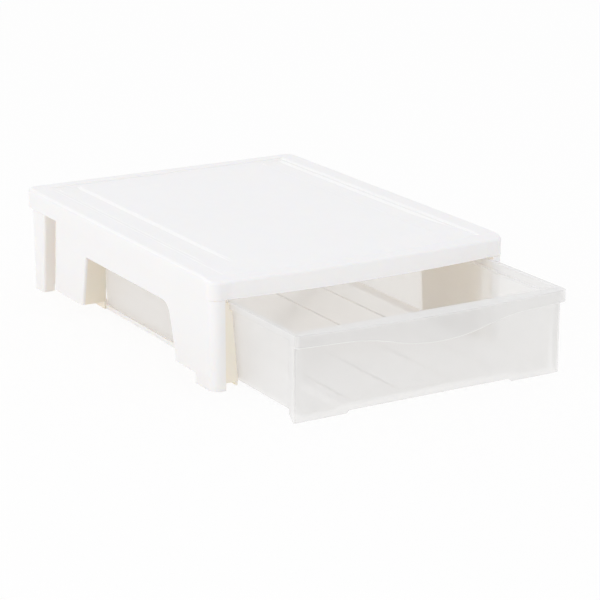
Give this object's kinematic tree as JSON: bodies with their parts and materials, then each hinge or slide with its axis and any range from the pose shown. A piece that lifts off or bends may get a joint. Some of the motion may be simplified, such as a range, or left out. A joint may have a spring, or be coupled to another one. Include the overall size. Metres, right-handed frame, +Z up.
{
  "type": "underbed storage drawer",
  "caption": "Low white plastic storage frame with a flat lid, side cut-outs and a clear sliding drawer with a wavy pull.",
  "frame": {"origin": "on the floor, under the middle of the whole object with its drawer partly open as pictured", "axes": "+Z up, +X to the right as seen from the front, -Y towards the front, where the drawer slides out"},
  "size_m": [0.42, 0.7122, 0.138],
  "materials": {
    "frame_white": "satin",
    "drawer_clear": "gloss"
  },
  "bodies": {
    "frame": {"top_panel": "frame_white", "left_side_panel": "frame_white", "right_side_panel": "frame_white", "rear_panel": "frame_white", "left_runner": "frame_white", "right_runner": "frame_white"},
    "drawer": {"drawer_tub": "drawer_clear"}
  },
  "joints": [
    {"name": "drawer_slide", "type": "slide", "parent": "frame", "child": "drawer", "axis": [0, -1, 0], "range_m": [-0.1415, 0.188]}
  ]
}
